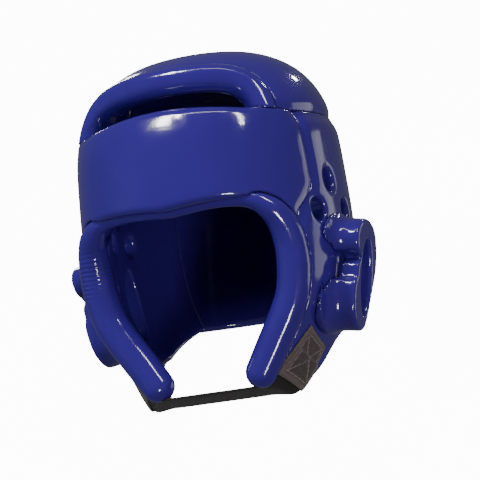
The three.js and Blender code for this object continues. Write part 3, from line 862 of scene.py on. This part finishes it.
def woven(name, dark, light, thread, sheen, stitched=False):
    """A woven tape: threads along and across it, from its UV map in millimetres."""
    material, tree, shader = new_material(name)
    place = add_node(tree, "ShaderNodeUVMap", uv_map="weave").outputs["UV"]
    bands = {"Vector": place, "Scale": WAVE_PERIOD / thread, "Distortion": 1.2, "Detail": 1.0}
    along, over = (add_node(tree, "ShaderNodeTexWave", bands, wave_type="BANDS", bands_direction=axis,
                            wave_profile="SIN").outputs["Fac"] for axis in ("X", "Y"))
    weave = maths(tree, "MULTIPLY", along, maths(tree, "ADD", maths(tree, "MULTIPLY", over, 0.7), 0.3))
    fuzz = noise(tree, place, 1.1, 3.0)
    share = maths(tree, "MULTIPLY", weave, maths(tree, "MULTIPLY", fuzz, 1.6))
    height = weave
    if stitched:
        stitches, edge = stitching(tree, place)
        share = maths(tree, "MINIMUM", maths(tree, "ADD", maths(tree, "ADD", share, edge), stitches), 1.0)
        height = maths(tree, "ADD", weave, maths(tree, "MULTIPLY", maths(tree, "ADD", stitches, edge), 1.5))
    tree.links.new(mix_colour(tree, share, dark, light), shader.inputs["Base Color"])
    tree.links.new(between(tree, fuzz, 0.3, 0.7, 0.7, 0.95), shader.inputs["Roughness"])
    tree.links.new(bump(tree, height, 0.0003, 0.8), shader.inputs["Normal"])
    shader.inputs["Sheen Weight"].default_value = sheen
    shader.inputs["Specular IOR Level"].default_value = 0.3
    return material


def plain_pale():
    """The studio's floor and wall, off-white with a faint mottle, lit from within."""
    material, tree, shader = new_material("pale_paper")
    place = add_node(tree, "ShaderNodeTexCoord").outputs["Object"]
    colour = mix_colour(tree, noise(tree, place, 1.5), (0.88, 0.88, 0.88, 1), (0.92, 0.92, 0.92, 1))
    tree.links.new(colour, shader.inputs["Base Color"])
    tree.links.new(colour, shader.inputs["Emission Color"])
    shader.inputs["Emission Strength"].default_value = 14.0
    shader.inputs["Roughness"].default_value = 0.9
    return material


# Pieces
def add_piece(name, points, faces, material, mirror=False):
    """A smooth-shaded object of millimetre points, mirrored to the wearer's right where asked."""
    if mirror:
        points = points * [-1, 1, 1]
        faces = [np.asarray(kind)[:, ::-1] for kind in faces]
    mesh = bpy.data.meshes.new(name)
    mesh.from_pydata((points * MM).tolist(), [], [list(face) for kind in faces for face in kind.tolist()])
    mesh.materials.append(material)
    mesh.shade_smooth()
    piece = bpy.data.objects.new(name, mesh)
    bpy.context.scene.collection.objects.link(piece)
    return piece


def add_uv(piece, coordinates):
    layer = piece.data.uv_layers.new(name="weave")
    corners = np.zeros(len(piece.data.loops), np.int32)
    piece.data.loops.foreach_get("vertex_index", corners)
    layer.data.foreach_set("uv", coordinates[corners].astype(np.float32).ravel())


def mount_piece(piece, node):
    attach(piece, "root")
    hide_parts(node)


def build_foam(skin):
    for node, make in (("forehead_pad", forehead_pad), ("crown_roll", crown_roll), ("crown_pad", crown_pad),
                       ("back_pad", back_pad), ("face_rim", face_rim)):
        points, quads = make()
        mount_piece(add_piece(f"{node}_skin", points, [quads], skin), node)
    for node, make in (("side_pad", side_pad), ("ear_guard", ear_guard)):
        points, quads = make()
        for label in ("left", "right"):
            piece = add_piece(f"{node}_{label}_skin", points, [quads], skin, mirror=label == "right")
            mount_piece(piece, f"{node}_{label}")


def build_strap():
    webbing = woven("black_webbing", (0.003, 0.003, 0.0025, 1), (0.03, 0.028, 0.022, 1), 1.0, 0.08)
    (points, quads, triangles), uv = strap_mesh()
    strap = add_piece("chin_strap_webbing", points, [quads, triangles], webbing)
    add_uv(strap, np.vstack([uv, uv[[0]], uv[[-1]]]))
    mount_piece(strap, "chin_strap")
    cloth = woven("grey_tape", (0.009, 0.007, 0.006, 1), (0.14, 0.12, 0.105, 1), 0.9, 0.1, stitched=True)
    for label in ("left", "right"):
        points, quads, uv = patch_mesh()
        piece = add_piece(f"strap_patch_{label}_cloth", points, [quads], cloth, mirror=label == "right")
        add_uv(piece, uv)
        mount_piece(piece, f"strap_patch_{label}")


# Studio
def build_studio():
    """A round room of pale paper: the floor curves up into the wall."""
    floor_z, radius, curve, height = -1.3, 5.0, 1.6, 6.0
    profile = [(0.0, floor_z), (radius - curve, floor_z)]
    for step in range(1, 13):
        turn = step / 12 * math.pi / 2
        profile.append((radius - curve + curve * math.sin(turn), floor_z + curve * (1 - math.cos(turn))))
    profile.append((radius, floor_z + height))
    sides = 96
    points, faces = [], []
    for reach, z in profile:
        for side in range(sides):
            turn = side / sides * 2 * math.pi
            points.append((reach * math.cos(turn), reach * math.sin(turn), z))
    for ring in range(len(profile) - 1):
        for side in range(sides):
            ahead = (side + 1) % sides
            faces.append((ring * sides + side, ring * sides + ahead, (ring + 1) * sides + ahead,
                          (ring + 1) * sides + side))
    mesh = bpy.data.meshes.new("studio_paper")
    mesh.from_pydata(points, [], faces)
    mesh.materials.append(plain_pale())
    mesh.shade_smooth()
    room = bpy.data.objects.new("studio_paper", mesh)
    room.visible_diffuse = False
    room.visible_glossy = False
    room.visible_shadow = False
    bpy.context.scene.collection.objects.link(room)


# Softboxes that face the head guard. Azimuth and elevation in degrees say where each is seen from it.
# Distance, width and height are in metres and power in watts. One that isn't mirrored shows no reflection.
LIGHT_TARGET = (0, 0, -130)
SOFTBOXES = [
    # name, azimuth, elevation, distance, width, height, power, colour, mirrored
    ("key_window", -21, 50, 2.2, 0.3, 0.55, 40, (1.0, 1.0, 1.0), True),
    ("key_window_pane", -8, 53, 2.2, 0.16, 0.3, 14, (1.0, 1.0, 1.0), True),
    ("front_fill", -50, 5, 3.0, 2.0, 1.6, 52, (0.8, 0.95, 1.0), False),
    ("right_fill", 55, -12, 3.0, 2.0, 1.6, 34, (1.0, 0.75, 0.95), False),
    ("side_softbox", 136, 0, 2.4, 1.2, 1.2, 4.5, (1.0, 1.0, 1.0), True),
    ("top_bar", 30, 62, 2.2, 1.3, 0.1, 7, (1.0, 1.0, 1.0), True),
    ("dome_spot", 162, 32, 2.2, 0.1, 0.1, 3, (1.0, 1.0, 1.0), True),
    ("near_rim_strip", 34, -27, 2.0, 0.28, 0.3, 13, (1.0, 1.0, 1.0), True),
    ("far_rim_strip", 65, 41, 2.0, 0.14, 0.6, 10, (1.0, 1.0, 1.0), True),
    ("back_left", -142, 32, 2.2, 0.3, 0.3, 8, (1.0, 1.0, 1.0), True),
]


def view_back(azimuth, elevation):
    """The direction towards a viewer at an azimuth and elevation in radians. Azimuth 0 looks along +Y."""
    return Vector((math.sin(azimuth) * math.cos(elevation), -math.cos(azimuth) * math.cos(elevation),
                   math.sin(elevation)))


def add_softbox(name, azimuth, elevation, distance, width, height, power, colour, mirrored):
    back = view_back(math.radians(azimuth), math.radians(elevation))
    light = bpy.data.lights.new(name, "AREA")
    light.shape = "RECTANGLE"
    light.size = width
    light.size_y = height
    light.energy = power
    light.color = colour
    lamp = bpy.data.objects.new(name, light)
    lamp.location = Vector(LIGHT_TARGET) * MM + back * distance
    lamp.rotation_euler = back.to_track_quat("Z", "Y").to_euler()
    lamp.visible_glossy = mirrored
    lamp.visible_camera = False
    bpy.context.scene.collection.objects.link(lamp)


def build_lights():
    world = bpy.data.worlds.new("studio_air")
    world.use_nodes = True
    world.node_tree.nodes["Background"].inputs["Color"].default_value = (1, 1, 1, 1)
    world.node_tree.nodes["Background"].inputs["Strength"].default_value = 0.11
    bpy.context.scene.world = world
    for softbox in SOFTBOXES:
        add_softbox(*softbox)


def build_camera():
    """The photograph's view: from slightly below and to the wearer's left, with the head guard leaning."""
    target = Vector((12.0, 4.4, -126.4)) * MM
    azimuth, elevation, roll = math.radians(20), math.radians(-4.4), math.radians(8)
    distance, focal_pixels, picture, sensor = 1.5, 1905, 480, 36
    back = view_back(azimuth, elevation)
    level = Vector((math.cos(azimuth), math.sin(azimuth), 0))
    rise = back.cross(level)
    right = level * math.cos(roll) - rise * math.sin(roll)
    up = level * math.sin(roll) + rise * math.cos(roll)
    camera = bpy.data.objects.new("camera", bpy.data.cameras.new("camera"))
    camera.data.sensor_width = sensor
    camera.data.lens = focal_pixels * sensor / picture
    camera.data.clip_end = 30
    facing = Matrix((right, up, back)).transposed().to_4x4()
    camera.matrix_world = Matrix.Translation(target + back * distance) @ facing
    bpy.context.scene.collection.objects.link(camera)
    bpy.context.scene.camera = camera


build_camera()
build_foam(vinyl())
build_strap()
build_studio()
build_lights()
